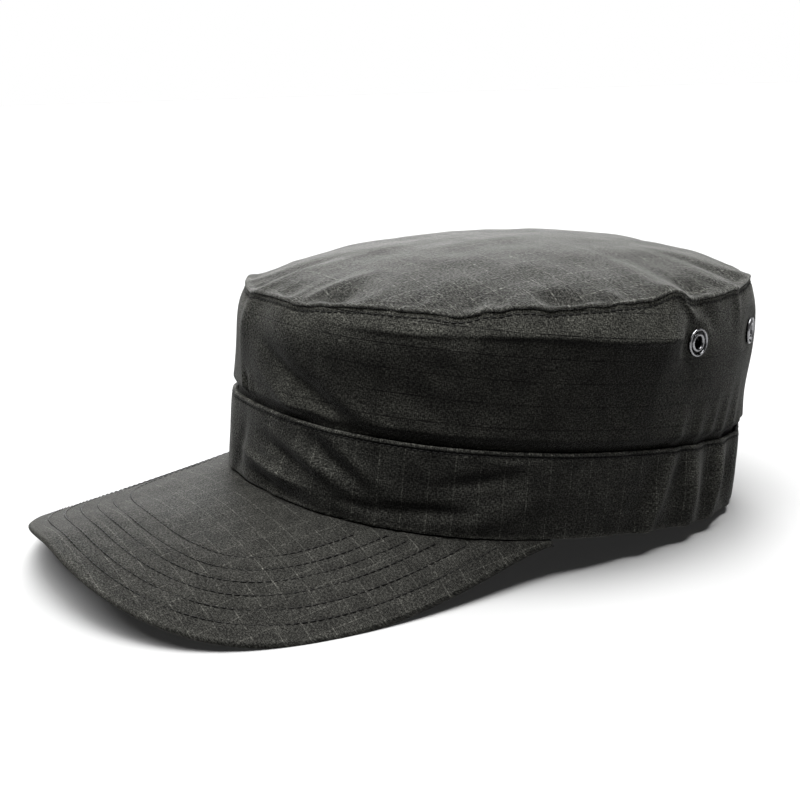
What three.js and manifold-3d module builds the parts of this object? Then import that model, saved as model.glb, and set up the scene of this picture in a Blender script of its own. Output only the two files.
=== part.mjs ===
// A soft military cap: a domed flat top, an upright side, a band gathered at the back and a stiff peak.
// Millimetres, +Z up. The peak points along -Y and the wearer's left side is +X.
// Everything is first laid out in the cap's own frame, where the rim of the band lies flat at z = 0, and
// then tipped onto the three places where the cap rests: the two corners of the peak and the back of the band.
// Azimuths are in degrees round the head: 0 at the front, 90 at the wearer's left, 180 at the back.
import * as THREE from 'three';
import { mergeVertices } from 'three/addons/utils/BufferGeometryUtils.js';
import Module from 'manifold-3d';

const wasm = await Module();
wasm.setup();

// The two rings that the walls follow, measured on their outer faces: half sizes along Y and X,
// the power of the rounded outline (2 is an ellipse) and the shift towards the back
const RIM = { halfLength: 99.6, halfWidth: 87.1, power: 2.34, shiftBack: 0 };
const SEAM = { halfLength: 98.9, halfWidth: 88.3, power: 2.11, shiftBack: 0.3 };

// Heights above the rim
const RIM_WAVE = 0.9;            // the rim lies lower at the sides and higher at the front and the back
const BAND_HEIGHT = 29.7;
const SEAM_HEIGHT = 80.3;        // halfway along the cap
const SEAM_SLOPE = 0.109;        // rise towards the back for each millimetre
const DOME_RISE = 14.6;          // of the middle of the top above its seam
const DOME_POWER = 2.3;          // over 2, the top is fuller near its seam

// Cloth
const BAND_THICKNESS = 1.9;      // folded double
const CROWN_THICKNESS = 1.6;
const PEAK_THICKNESS = 2.2;      // board between two layers of cloth
const GAP = 0.35;                // between pieces that touch
const PUFF_START = 0.4;          // above the band's upper edge the crown rolls out from this height
const PUFF_HEIGHT = 4.5;         // to this one
const CROWN_SWELL = 2.2;         // of the side, outwards, at its fullest
const SWELL_POWER = 2.1;         // over 1, the side is fullest above its middle
const SEAM_RIDGE = { out: 0.5, height: 1.4, share: 0.965 };
const SEAM_WAVE_FADE = 6;        // how fast the seam's waves die out towards the middle of the top

// Peak: the sheet starts at the rim and runs forwards and down
const PEAK = {
  halfAngle: 72.1,
  length: 76.3,
  fan: 0.313,                    // how far its ribs spread, as a share of the azimuth
  taperPower: 5.45,
  taperSharpness: 2.6,
  droopMiddle: 10.2,             // degrees below the rim plane at the front
  droopEnds: 34.6,               // and at both ends
  droopPower: 1.4,
  root: 3.4,                     // of it that lies under the band
};
const PEAK_END = 0.985;          // the share of the half angle at which the sheet is cut off

// Eyelets: metal rings of turned section, in pairs on both sides
const EYELET = { flange: 4.85, barrel: 2.75, bore: 2.15, backFlange: 4.2, crest: 0.95, backThickness: 0.5 };
const EYELETS = [
  { name: 'eyelet_left_front', azimuth: 104.1, height: 66.8 },
  { name: 'eyelet_left_rear', azimuth: 130.7, height: 68.9 },
  { name: 'eyelet_right_front', azimuth: -104.1, height: 66.8 },
  { name: 'eyelet_right_rear', azimuth: -130.7, height: 68.9 },
];
const EYELET_SIDES = 16;
const EYELET_HOLE_DEPTH = 12;

const PRESSED = 0.7;             // how far the cloth is pressed flat where the cap rests

// Columns of points round the head and along the peak
const COLUMNS = 120;
const PEAK_COLUMNS = 36;

// Rows of points up the band, up the crown's side, over its top and along the peak. The crown's lowest
// rows are heights above the band's upper edge; all others are shares of the way
const BAND_ROWS = [0, 0.25, 0.5, 0.75, 1];
const BAND_INNER_ROWS = [0, 0.4, 0.75, 1];
const CROWN_LOW_ROWS = [-BAND_HEIGHT / 4, -0.4, 1.6, PUFF_HEIGHT];
const CROWN_FREE_ROWS = [0.32, 0.5, 0.68, 0.84, 0.94, 1];
const CROWN_LOW_INNER_ROWS = [-BAND_HEIGHT / 4, -0.4, PUFF_HEIGHT];
const CROWN_FREE_INNER_ROWS = [0.32, 0.5, 0.68, 0.84, 1];
const TOP_ROWS = [0, 0.25, 0.5, 0.72, 0.87, SEAM_RIDGE.share];
const TOP_INNER_ROWS = [0.92, 0.5, 0];
const PEAK_ROWS = [0, 0.1, 0.25, 0.42, 0.6, 0.76, 0.9, 1];
const PEAK_LOWER_ROWS = [1, 0.6, 0.25, 0];
const MERGE_DISTANCE = 1e-4;

// The resting pitch is looked for between these angles, in degrees
const PITCH_RANGE = [3, 14];
const PITCH_HALVINGS = 40;

// Each fold is a soft ridge (depth over 0) or valley (under 0). azimuth and rise give its middle, rise
// running from 0 at the lower edge to 1 at the upper one; halfWidth is in degrees, reach is a share of
// the height, and lean is how many degrees it moves round the head from the lower edge to the upper one.
const BAND_FOLDS = [
  { azimuth: -40, rise: 0.5, halfWidth: 6, reach: 0.5, lean: 12, depth: -1.1 },
  { azimuth: -15, rise: 0.6, halfWidth: 3.5, reach: 0.5, lean: 0, depth: 0.9 },
  { azimuth: 4, rise: 0.3, halfWidth: 5, reach: 0.35, lean: 0, depth: -1.6 },
  { azimuth: 12.5, rise: 0.47, halfWidth: 3, reach: 0.45, lean: -7.5, depth: -1.2 },
  { azimuth: 18, rise: 0.5, halfWidth: 3.2, reach: 0.5, lean: -10, depth: 0.8 },
  { azimuth: 25.5, rise: 0.52, halfWidth: 3.6, reach: 0.5, lean: -15, depth: -1.4 },
  { azimuth: 49, rise: 0.42, halfWidth: 8, reach: 0.32, lean: 12, depth: -0.9 },
  { azimuth: 80, rise: 0.45, halfWidth: 7, reach: 0.4, lean: 8, depth: 0.5 },
  { azimuth: 94.5, rise: 0.5, halfWidth: 3, reach: 0.6, lean: 7, depth: -0.8 },
  { azimuth: 99.9, rise: 0.42, halfWidth: 2.6, reach: 0.6, lean: 7.3, depth: 1.2 },
  { azimuth: 106.5, rise: 0.5, halfWidth: 3, reach: 0.7, lean: 3, depth: -1.1 },
  { azimuth: 113, rise: 0.5, halfWidth: 3.2, reach: 0.7, lean: 0, depth: 1.4 },
  { azimuth: 118.5, rise: 0.5, halfWidth: 2.6, reach: 0.7, lean: 1, depth: -1.2 },
  { azimuth: 123, rise: 0.5, halfWidth: 2.6, reach: 0.7, lean: 2.5, depth: 1.3 },
];

// The elastic gathers the hidden back and right of the band in the same way, worked out by a rule
const GATHERS = { from: 129, to: 265, step: 10.5, halfWidth: 3, reach: 0.8, depth: 1.25, leanTurn: 2.4, lean: 3 };

const CROWN_FOLDS = [
  { azimuth: -70, rise: 0.35, halfWidth: 9, reach: 0.35, lean: -14, depth: -1.3 },
  { azimuth: -32, rise: 0.45, halfWidth: 7, reach: 0.4, lean: 8, depth: -1.2 },
  { azimuth: -12, rise: 0.8, halfWidth: 4.5, reach: 0.4, lean: -8, depth: 1.3 },
  { azimuth: 10, rise: 0.62, halfWidth: 5, reach: 0.4, lean: 4, depth: 0.7 },
  { azimuth: 20, rise: 0.2, halfWidth: 6.5, reach: 0.3, lean: -18, depth: -2 },
  { azimuth: 36, rise: 0.16, halfWidth: 6, reach: 0.2, lean: -14, depth: 0.9 },
  { azimuth: 46, rise: 0.88, halfWidth: 8, reach: 0.16, lean: 0, depth: 0.9 },
  { azimuth: 66, rise: 0.86, halfWidth: 7, reach: 0.15, lean: 0, depth: 0.8 },
  { azimuth: 101, rise: 1, halfWidth: 3, reach: 0.22, lean: -4, depth: -1.5 },
  { azimuth: 106, rise: 0.92, halfWidth: 3, reach: 0.22, lean: -10, depth: 1 },
  { azimuth: 125, rise: 0.85, halfWidth: 3, reach: 0.3, lean: 0, depth: 1.2 },
  { azimuth: 150, rise: 0.5, halfWidth: 8, reach: 0.45, lean: -12, depth: -1.2 },
  { azimuth: 185, rise: 0.55, halfWidth: 10, reach: 0.4, lean: 10, depth: 1 },
  { azimuth: 215, rise: 0.4, halfWidth: 8, reach: 0.4, lean: 10, depth: -1.3 },
  { azimuth: 250, rise: 0.7, halfWidth: 9, reach: 0.3, lean: -10, depth: 0.9 },
];

// Low waves of the seam between the side and the top: azimuth, half width in degrees and lift
const SEAM_WAVES = [
  { azimuth: -12, halfWidth: 5, lift: -0.9 },
  { azimuth: 12, halfWidth: 5, lift: -0.9 },
  { azimuth: 28, halfWidth: 7, lift: 0.7 },
  { azimuth: 45, halfWidth: 6, lift: -1.2 },
  { azimuth: 62, halfWidth: 5, lift: 0.7 },
  { azimuth: 96, halfWidth: 5, lift: 1.7 },
  { azimuth: 108, halfWidth: 8, lift: -2.6 },
  { azimuth: 124, halfWidth: 8, lift: -1.8 },
  { azimuth: 160, halfWidth: 12, lift: -1.2 },
  { azimuth: 205, halfWidth: 10, lift: 1 },
  { azimuth: 262, halfWidth: 10, lift: -1.4 },
  { azimuth: 300, halfWidth: 10, lift: 0.9 },
];

// Folds of the top: rise is the share of the way from the middle of the top to its seam
const TOP_FOLDS = [
  { azimuth: -14, rise: 0.93, halfWidth: 4, reach: 0.2, lean: 0, depth: -1.8 },
  { azimuth: -3, rise: 0.85, halfWidth: 4, reach: 0.2, lean: -14, depth: 1.2 },
  { azimuth: 5, rise: 0.88, halfWidth: 4, reach: 0.15, lean: -10, depth: -1 },
  { azimuth: 14, rise: 0.87, halfWidth: 4.5, reach: 0.18, lean: -14, depth: 1.2 },
  { azimuth: 23, rise: 0.88, halfWidth: 5, reach: 0.14, lean: -10, depth: -1.3 },
  { azimuth: 48, rise: 0.93, halfWidth: 6, reach: 0.12, lean: 0, depth: -0.8 },
  { azimuth: 92, rise: 0.9, halfWidth: 5, reach: 0.15, lean: 0, depth: 0.8 },
  { azimuth: 103, rise: 0.9, halfWidth: 5, reach: 0.16, lean: 0, depth: -1.8 },
  { azimuth: 128, rise: 0.92, halfWidth: 4, reach: 0.2, lean: 0, depth: -1.6 },
  { azimuth: 170, rise: 0.85, halfWidth: 8, reach: 0.25, lean: 6, depth: -1.5 },
  { azimuth: 220, rise: 0.85, halfWidth: 8, reach: 0.25, lean: -6, depth: -1.3 },
  { azimuth: 275, rise: 0.88, halfWidth: 7, reach: 0.2, lean: 6, depth: -1.4 },
  { azimuth: 320, rise: 0.86, halfWidth: 7, reach: 0.22, lean: 0, depth: -1.3 },
];

// Low swells of the peak, with rise running from the band to the edge
const PEAK_FOLDS = [
  { azimuth: 0, rise: 1, halfWidth: 12, reach: 0.14, lean: 0, depth: 0.7 },
  { azimuth: -22, rise: 0.9, halfWidth: 6, reach: 0.3, lean: 0, depth: -0.6 },
  { azimuth: 30, rise: 0.55, halfWidth: 10, reach: 0.3, lean: 0, depth: 0.5 },
];

const radians = THREE.MathUtils.degToRad;
const mix = THREE.MathUtils.lerp;
const smoothstep = THREE.MathUtils.smoothstep;
const clamp = THREE.MathUtils.clamp;

function turnBetween(azimuth, other) {
  return THREE.MathUtils.euclideanModulo(azimuth - other + 180, 360) - 180;
}

function gatherFolds() {
  const folds = [];
  const count = Math.floor((GATHERS.to - GATHERS.from) / GATHERS.step);
  for (let i = 0; i <= count; i += 1) {
    const azimuth = GATHERS.from + i * GATHERS.step;
    const lean = GATHERS.lean * Math.sin(i * GATHERS.leanTurn);
    const shape = { rise: 0.5, halfWidth: GATHERS.halfWidth, reach: GATHERS.reach, lean };
    folds.push({ ...shape, azimuth, depth: -GATHERS.depth });
    folds.push({ ...shape, azimuth: azimuth + GATHERS.step / 2, depth: GATHERS.depth });
  }
  return folds;
}

const ALL_BAND_FOLDS = [...BAND_FOLDS, ...gatherFolds()];

function foldDepth(folds, azimuth, rise) {
  let depth = 0;
  for (const fold of folds) {
    const middle = fold.azimuth + fold.lean * (rise - fold.rise);
    const across = turnBetween(azimuth, middle) / fold.halfWidth;
    const along = (rise - fold.rise) / fold.reach;
    depth += fold.depth * Math.exp(-across * across - along * along);
  }
  return depth;
}

// A point on a ring, moved outwards by an offset, as x and y
function ringPoint(ring, azimuth, offset) {
  const s = Math.sin(radians(azimuth));
  const c = Math.cos(radians(azimuth));
  const reach = Math.abs(s / ring.halfWidth) ** ring.power + Math.abs(c / ring.halfLength) ** ring.power;
  const radius = reach ** (-1 / ring.power);
  const point = new THREE.Vector2(radius * s, -radius * c);
  const outward = new THREE.Vector2(
    Math.sign(point.x) * Math.abs(point.x / ring.halfWidth) ** (ring.power - 1) / ring.halfWidth,
    Math.sign(point.y) * Math.abs(point.y / ring.halfLength) ** (ring.power - 1) / ring.halfLength,
  ).normalize();
  point.addScaledVector(outward, offset);
  point.y += ring.shiftBack;
  return point;
}

function rimHeight(azimuth) {
  return RIM_WAVE * Math.cos(2 * radians(azimuth));
}

function seamPlane(y) {
  return SEAM_HEIGHT + SEAM_SLOPE * y;
}

function seamWave(azimuth) {
  let lift = 0;
  for (const wave of SEAM_WAVES) {
    const across = turnBetween(azimuth, wave.azimuth) / wave.halfWidth;
    lift += wave.lift * Math.exp(-across * across);
  }
  return lift;
}

function seamHeight(azimuth) {
  return seamPlane(ringPoint(SEAM, azimuth, 0).y) + seamWave(azimuth);
}

// Band: a point at a rise from 0 to 1 and a depth inwards from its outer face
function bandPoint(azimuth, rise, inwards) {
  const offset = foldDepth(ALL_BAND_FOLDS, azimuth, rise) - inwards;
  const p = ringPoint(RIM, azimuth, offset);
  return new THREE.Vector3(p.x, p.y, rimHeight(azimuth) + rise * BAND_HEIGHT);
}

// Folds die out round each eyelet, which holds the cloth flat: 0 at its middle, 1 well away from it
function eyeletCalm(azimuth, height) {
  let calm = 1;
  for (const eyelet of EYELETS) {
    const round = radians(turnBetween(azimuth, eyelet.azimuth)) * RIM.halfWidth;
    const distance = Math.hypot(round, height - eyelet.height);
    calm = Math.min(calm, smoothstep(distance, EYELET.flange + 1, EYELET.flange + 6));
  }
  return calm;
}

function bandTop(azimuth) {
  return rimHeight(azimuth) + BAND_HEIGHT;
}

// Side of the crown: a point at a height above the band's upper edge and a depth inwards
function crownPoint(azimuth, above, inwards) {
  const height = bandTop(azimuth) + above;
  const share = clamp(above / (seamHeight(azimuth) - bandTop(azimuth)), 0, 1);
  const swell = CROWN_SWELL * Math.sin(Math.PI * share ** SWELL_POWER);
  const free = foldDepth(CROWN_FOLDS, azimuth, share) * eyeletCalm(azimuth, height) + swell;
  const tucked = foldDepth(ALL_BAND_FOLDS, azimuth, clamp(1 + above / BAND_HEIGHT, 0, 1));
  const puff = smoothstep(above, PUFF_START, PUFF_HEIGHT);
  const offset = mix(tucked - BAND_THICKNESS - GAP, free, puff) - inwards;
  const p = ringPoint(RIM, azimuth, offset).lerp(ringPoint(SEAM, azimuth, offset), share);
  return new THREE.Vector3(p.x, p.y, height);
}

// Top of the crown: a point at a share of the way from its middle to the seam and a depth below its outer face
function topPoint(azimuth, share, below) {
  const edge = ringPoint(SEAM, azimuth, foldDepth(CROWN_FOLDS, azimuth, 1));
  const x = edge.x * share;
  const y = SEAM.shiftBack + (edge.y - SEAM.shiftBack) * share;
  const dome = DOME_RISE * (1 - share ** DOME_POWER);
  const wave = seamWave(azimuth) * share ** SEAM_WAVE_FADE;
  const lift = foldDepth(TOP_FOLDS, azimuth, share) * smoothstep(1 - share, 0, 1 - SEAM_RIDGE.share);
  return new THREE.Vector3(x, y, seamPlane(y) + SEAM_RIDGE.height + dome + wave + lift - below);
}

// Unit vector along a rib of the peak, and the one square to it through the peak's thickness
function peakDirections(azimuth) {
  const away = Math.abs(azimuth) / PEAK.halfAngle;
  const droop = radians(mix(PEAK.droopMiddle, PEAK.droopEnds, away ** PEAK.droopPower));
  const heading = radians(PEAK.fan * azimuth);
  const ahead = new THREE.Vector3(Math.sin(heading), -Math.cos(heading), 0);
  const up = new THREE.Vector3(0, 0, 1);
  const along = ahead.clone().multiplyScalar(Math.cos(droop)).addScaledVector(up, -Math.sin(droop));
  const down = ahead.clone().multiplyScalar(-Math.sin(droop)).addScaledVector(up, -Math.cos(droop));
  return { along, down };
}

// Peak: a point at a share of the way from the rim to its edge and a depth below its upper face
function peakPoint(azimuth, share, below) {
  const { along, down } = peakDirections(azimuth);
  const away = Math.abs(azimuth) / PEAK.halfAngle;
  const reach = PEAK.length * (1 - away ** PEAK.taperPower) ** PEAK.taperSharpness;
  const rim = ringPoint(RIM, azimuth, 0);
  const point = new THREE.Vector3(rim.x, rim.y, rimHeight(azimuth) - GAP);
  point.addScaledVector(along, share * reach);
  point.addScaledVector(down, below - foldDepth(PEAK_FOLDS, azimuth, share) * share);
  return point;
}

// The strip of the peak that is sewn in under the band
function peakRoot(azimuth, below) {
  const p = ringPoint(RIM, azimuth, -PEAK.root);
  return new THREE.Vector3(p.x, p.y, rimHeight(azimuth) - GAP - below);
}

// Turns the faces of a closed geometry outwards, after the faces that closed up at a pole are dropped
function facingOut(merged) {
  const index = Array.from(merged.index.array);
  const position = merged.attributes.position;
  const [a, b, c] = [new THREE.Vector3(), new THREE.Vector3(), new THREE.Vector3()];
  const faces = [];
  let volume = 0;
  for (let i = 0; i < index.length; i += 3) {
    const [p, q, r] = index.slice(i, i + 3);
    if (p !== q && q !== r && r !== p) {
      a.fromBufferAttribute(position, p);
      b.fromBufferAttribute(position, q);
      c.fromBufferAttribute(position, r);
      volume += a.dot(b.cross(c));
      faces.push([p, q, r]);
    }
  }
  merged.setIndex(faces.map((face) => (volume < 0 ? face.reverse() : face)).flat());
  return merged;
}

// Closed body from equal sections, which follow one another round the head or along the peak.
// A section is a closed loop of points, or with poles a line whose ends all sections share.
function sweptGeometry(sections, { ring = false, poles = false }) {
  const size = sections[0].length;
  const last = sections.length - 1;
  const at = (column, row) => (column % sections.length) * size + (row % size);
  const index = [];
  for (let column = 0; column < (ring ? sections.length : last); column += 1) {
    for (let row = 0; row < (poles ? size - 1 : size); row += 1) {
      index.push(at(column, row), at(column + 1, row), at(column + 1, row + 1));
      index.push(at(column, row), at(column + 1, row + 1), at(column, row + 1));
    }
  }
  for (let row = 1; row < size - 1 && !ring; row += 1) {
    index.push(at(0, 0), at(0, row), at(0, row + 1));
    index.push(at(last, 0), at(last, row + 1), at(last, row));
  }
  const positions = sections.flat().flatMap((point) => [point.x, point.y, point.z]);
  const geometry = new THREE.BufferGeometry();
  geometry.setAttribute('position', new THREE.Float32BufferAttribute(positions, 3));
  geometry.setIndex(index);
  return facingOut(mergeVertices(geometry, MERGE_DISTANCE));
}

function columnAzimuths() {
  return Array.from({ length: COLUMNS }, (_, i) => (360 * i) / COLUMNS);
}

function bandSections() {
  return columnAzimuths().map((azimuth) => [
    ...BAND_ROWS.map((rise) => bandPoint(azimuth, rise, 0)),
    ...BAND_INNER_ROWS.toReversed().map((rise) => bandPoint(azimuth, rise, BAND_THICKNESS)),
  ]);
}

// The inner rows come first, so that its faces inside the band are split the same way as the band's inner ones
function crownSections() {
  return columnAzimuths().map((azimuth) => {
    const free = seamHeight(azimuth) - bandTop(azimuth);
    const outer = [...CROWN_LOW_ROWS, ...CROWN_FREE_ROWS.map((share) => share * free)];
    const inner = [...CROWN_LOW_INNER_ROWS, ...CROWN_FREE_INNER_ROWS.map((share) => share * free)];
    return [
      ...inner.map((above) => crownPoint(azimuth, above, CROWN_THICKNESS)),
      ...outer.toReversed().map((above) => crownPoint(azimuth, above, 0)),
    ];
  });
}

function topSections() {
  const seam = SEAM_RIDGE.height - GAP;
  return columnAzimuths().map((azimuth) => [
    ...TOP_ROWS.map((share) => topPoint(azimuth, share, 0)),
    topPoint(azimuth, 1 + SEAM_RIDGE.out / SEAM.halfWidth, seam / 2),
    topPoint(azimuth, 1, seam),
    topPoint(azimuth, 1 - CROWN_THICKNESS / SEAM.halfWidth, seam),
    ...TOP_INNER_ROWS.map((share) => topPoint(azimuth, share, CROWN_THICKNESS)),
  ]);
}

function peakSections() {
  const sections = [];
  for (let i = 0; i <= PEAK_COLUMNS; i += 1) {
    const azimuth = PEAK.halfAngle * PEAK_END * ((2 * i) / PEAK_COLUMNS - 1);
    const edge = peakPoint(azimuth, 1, PEAK_THICKNESS / 2);
    edge.addScaledVector(peakDirections(azimuth).along, PEAK_THICKNESS / 3);
    sections.push([
      peakRoot(azimuth, 0),
      ...PEAK_ROWS.map((share) => peakPoint(azimuth, share, 0)),
      edge,
      ...PEAK_LOWER_ROWS.map((share) => peakPoint(azimuth, share, PEAK_THICKNESS)),
      peakRoot(azimuth, PEAK_THICKNESS),
    ]);
  }
  return sections;
}

// Raises the front of the cap by a pitch in degrees
function tipped(point, pitch) {
  return point.clone().applyAxisAngle(new THREE.Vector3(1, 0, 0), -radians(pitch));
}

function lowest(sections, pitch) {
  return Math.min(...sections.flat().map((point) => tipped(point, pitch).z));
}

// The pitch at which the peak's corners and the back of the band stand on one plane, by halving
function restingPitch(peak, band) {
  let [low, high] = PITCH_RANGE;
  for (let i = 0; i < PITCH_HALVINGS; i += 1) {
    const middle = (low + high) / 2;
    if (lowest(peak, middle) < lowest(band, middle)) low = middle;
    else high = middle;
  }
  return (low + high) / 2;
}

const band = bandSections();
const peak = peakSections();
const PITCH = restingPitch(peak, band);
const FLOOR = lowest(band, PITCH) + PRESSED;

// From the cap's own frame to the one in which it rests, with the cloth flat where it meets the surface
function atRest(point) {
  const placed = tipped(point, PITCH);
  placed.z = Math.max(placed.z - FLOOR, 0);
  return placed;
}

function placedSections(sections) {
  return sections.map((section) => section.map(atRest));
}

// Eyelet: a ring of turned section through the cloth, laid out along +Y with the cloth's outer face at 0
function eyeletGeometry() {
  const { flange, barrel, bore, backFlange, crest, backThickness } = EYELET;
  const back = -CROWN_THICKNESS - GAP;
  const profile = [
    [bore, back - backThickness],
    [backFlange, back - backThickness],
    [backFlange, back],
    [barrel, back],
    [barrel, GAP],
    [flange, GAP],
    [flange - crest / 3, GAP + crest * 0.75],
    [mix(bore, flange, 0.65), GAP + crest],
    [mix(bore, flange, 0.25), GAP + crest * 0.55],
    [bore, GAP],
    [bore, back - backThickness],
  ];
  const geometry = new THREE.LatheGeometry(profile.map(([r, y]) => new THREE.Vector2(r, y)), EYELET_SIDES);
  geometry.deleteAttribute('normal');
  geometry.deleteAttribute('uv');
  return facingOut(mergeVertices(geometry, MERGE_DISTANCE));
}

// Where an eyelet sits on the crown's outer face, and the turn that carries +Y to the way out
function eyeletPlace({ azimuth, height }) {
  const above = height - bandTop(azimuth);
  const step = 1;
  const middle = atRest(crownPoint(azimuth, above, 0));
  const across = atRest(crownPoint(azimuth + step, above, 0)).sub(atRest(crownPoint(azimuth - step, above, 0)));
  const upwards = atRest(crownPoint(azimuth, above + step, 0)).sub(atRest(crownPoint(azimuth, above - step, 0)));
  const outward = across.cross(upwards).normalize();
  return { middle, turn: new THREE.Quaternion().setFromUnitVectors(new THREE.Vector3(0, 1, 0), outward) };
}

function toSolid(geometry) {
  return new wasm.Manifold(new wasm.Mesh({
    numProp: 3,
    vertProperties: new Float32Array(geometry.attributes.position.array),
    triVerts: new Uint32Array(geometry.index.array),
  }));
}

function fromSolid(solid) {
  const { vertProperties, triVerts } = solid.getMesh();
  const geometry = new THREE.BufferGeometry();
  geometry.setAttribute('position', new THREE.Float32BufferAttribute(vertProperties, 3));
  geometry.setIndex(Array.from(triVerts));
  return geometry;
}

// The crown's side with a round hole for each eyelet
function piercedCrown(geometry) {
  let solid = toSolid(geometry);
  for (const eyelet of EYELETS) {
    const { middle, turn } = eyeletPlace(eyelet);
    const length = EYELET_HOLE_DEPTH;
    const drill = new THREE.CylinderGeometry(EYELET.barrel + GAP, EYELET.barrel + GAP, length, EYELET_SIDES);
    drill.deleteAttribute('normal');
    drill.deleteAttribute('uv');
    const tool = mergeVertices(drill, MERGE_DISTANCE);
    tool.applyQuaternion(turn).translate(middle.x, middle.y, middle.z);
    solid = solid.subtract(toSolid(tool));
  }
  return fromSolid(solid);
}

// Materials
const crownCloth = new THREE.MeshStandardMaterial({ color: 0x26261f, roughness: 0.92, metalness: 0 });
const bandCloth = new THREE.MeshStandardMaterial({ color: 0x2a2a24, roughness: 0.92, metalness: 0 });
const peakCloth = new THREE.MeshStandardMaterial({ color: 0x2f2f29, roughness: 0.9, metalness: 0 });
const blackMetal = new THREE.MeshStandardMaterial({ color: 0x0c0c0d, roughness: 0.28, metalness: 0.9 });

const group = new THREE.Group();

function addPiece(name, geometry, material) {
  const mesh = new THREE.Mesh(geometry, material);
  mesh.name = name;
  group.add(mesh);
  return mesh;
}

const side = sweptGeometry(placedSections(crownSections()), { ring: true });
addPiece('crown_top', sweptGeometry(placedSections(topSections()), { ring: true, poles: true }), crownCloth);
addPiece('crown_side', piercedCrown(side), crownCloth);
addPiece('band', sweptGeometry(placedSections(band), { ring: true }), bandCloth);
addPiece('peak', sweptGeometry(placedSections(peak), {}), peakCloth);
for (const eyelet of EYELETS) {
  const mesh = addPiece(eyelet.name, eyeletGeometry(), blackMetal);
  const { middle, turn } = eyeletPlace(eyelet);
  mesh.position.copy(middle);
  mesh.quaternion.copy(turn);
}

// The origin is under the middle of the cap, on the surface that it rests on
const middle = new THREE.Box3().setFromObject(group).getCenter(new THREE.Vector3());
group.position.set(-middle.x, -middle.y, 0);

export default group;
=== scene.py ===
import math
from collections import namedtuple

import bmesh
import bpy
import numpy as np
from mathutils import Matrix, Vector


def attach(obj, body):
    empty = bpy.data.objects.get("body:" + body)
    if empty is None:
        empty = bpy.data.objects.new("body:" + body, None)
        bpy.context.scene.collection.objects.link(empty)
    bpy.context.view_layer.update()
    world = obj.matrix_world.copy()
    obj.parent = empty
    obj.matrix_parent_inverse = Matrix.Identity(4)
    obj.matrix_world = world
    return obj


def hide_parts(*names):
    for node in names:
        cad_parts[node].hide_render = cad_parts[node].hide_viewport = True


# The looks of a soft military cap in black ripstop cloth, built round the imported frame.
# Lengths are in millimetres until a mesh, a lamp or the camera is made; the scene itself is in metres.
# The cloth is laid out in the cap's own frame, where the rim of the band lies flat at z = 0, and is then
# tipped onto the corners of the peak and the back of the band, as the cap rests. -Y is the front and +X the
# wearer's left. Azimuths are in degrees round the head: 0 at the front, 90 at the wearer's left.

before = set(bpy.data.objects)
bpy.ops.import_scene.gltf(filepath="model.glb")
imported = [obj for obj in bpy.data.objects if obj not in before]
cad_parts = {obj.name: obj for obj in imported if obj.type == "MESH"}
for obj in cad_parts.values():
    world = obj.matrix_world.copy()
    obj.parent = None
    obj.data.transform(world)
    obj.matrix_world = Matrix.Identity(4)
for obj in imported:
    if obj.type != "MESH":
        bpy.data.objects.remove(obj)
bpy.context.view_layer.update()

MM = 0.001
WELD = 0.001  # closer points are joined

# How the cap's own frame lies in the scene
REST_PITCH = 7.0186  # degrees that the front is raised
REST_LIFT = 10.6682  # then up
REST_SHIFT = 32.534  # and back

# Camera: where it looks, from where, and how far it is turned about its own axis
CAMERA_TARGET = (-1.78, -2.98, 45.89)
CAMERA_DISTANCE = 482.92
CAMERA_AZIMUTH = 59.0866
CAMERA_ELEVATION = 13.8807
CAMERA_ROLL = -1.6092
CAMERA_LENS = 56.5776
CAMERA_SENSOR = 36
CAMERA_CLIP = (0.01, 100)  # metres


def put_in_scene(name, data):
    thing = bpy.data.objects.new(name, data)
    bpy.context.scene.collection.objects.link(thing)
    return thing


def place_camera():
    """Makes the scene's camera at the photograph's viewing angle."""
    azimuth = math.radians(CAMERA_AZIMUTH)
    elevation = math.radians(CAMERA_ELEVATION)
    roll = math.radians(CAMERA_ROLL)
    back = Vector((
        math.sin(azimuth) * math.cos(elevation),
        -math.cos(azimuth) * math.cos(elevation),
        math.sin(elevation),
    ))
    level = Vector((math.cos(azimuth), math.sin(azimuth), 0))
    upright = back.cross(level)
    right = level * math.cos(roll) + upright * math.sin(roll)
    up = upright * math.cos(roll) - level * math.sin(roll)
    data = bpy.data.cameras.new("camera")
    data.sensor_width = CAMERA_SENSOR
    data.lens = CAMERA_LENS
    data.clip_start, data.clip_end = CAMERA_CLIP
    camera = put_in_scene("camera", data)
    turned = Matrix((right, up, back)).transposed().to_4x4()
    spot = (Vector(CAMERA_TARGET) + back * CAMERA_DISTANCE) * MM
    camera.matrix_world = Matrix.Translation(spot) @ turned
    bpy.context.scene.camera = camera


place_camera()

# The two rings that the walls follow, measured on their outer faces: half sizes along Y and X, the power
# of the rounded outline (2 is an ellipse) and the shift towards the back
Ring = namedtuple("Ring", "half_length half_width power shift_back")
RIM = Ring(99.6, 87.1, 2.34, 0)
SEAM = Ring(98.9, 88.3, 2.11, 0.3)

# Heights above the rim
RIM_WAVE = 0.9  # the rim lies lower at the sides and higher at the front and the back
BAND_HEIGHT = 29.7
SEAM_HEIGHT = 80.3  # halfway along the cap
SEAM_SLOPE = 0.109  # rise towards the back for each millimetre
DOME_RISE = 14
DOME_POWER = 2.3
SEAM_LIFT = 1.4  # of the top's outer face above the side's upper end
SEAM_WAVE_FADE = 6  # power by which the seam's waves die out towards the middle

# Cloth
BAND_THICKNESS = 1.9
CROWN_THICKNESS = 1.6
PEAK_THICKNESS = 2.2
GAP = 0.35  # between pieces that touch
PUFF_START = 0.4  # above the band's upper edge the crown rolls out from this height
PUFF_HEIGHT = 4.5  # to this one
CROWN_SWELL = 2.2  # of the side, outwards
SWELL_POWER = 2.1  # over 1 brings the swell's middle nearer to the seam

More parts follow.
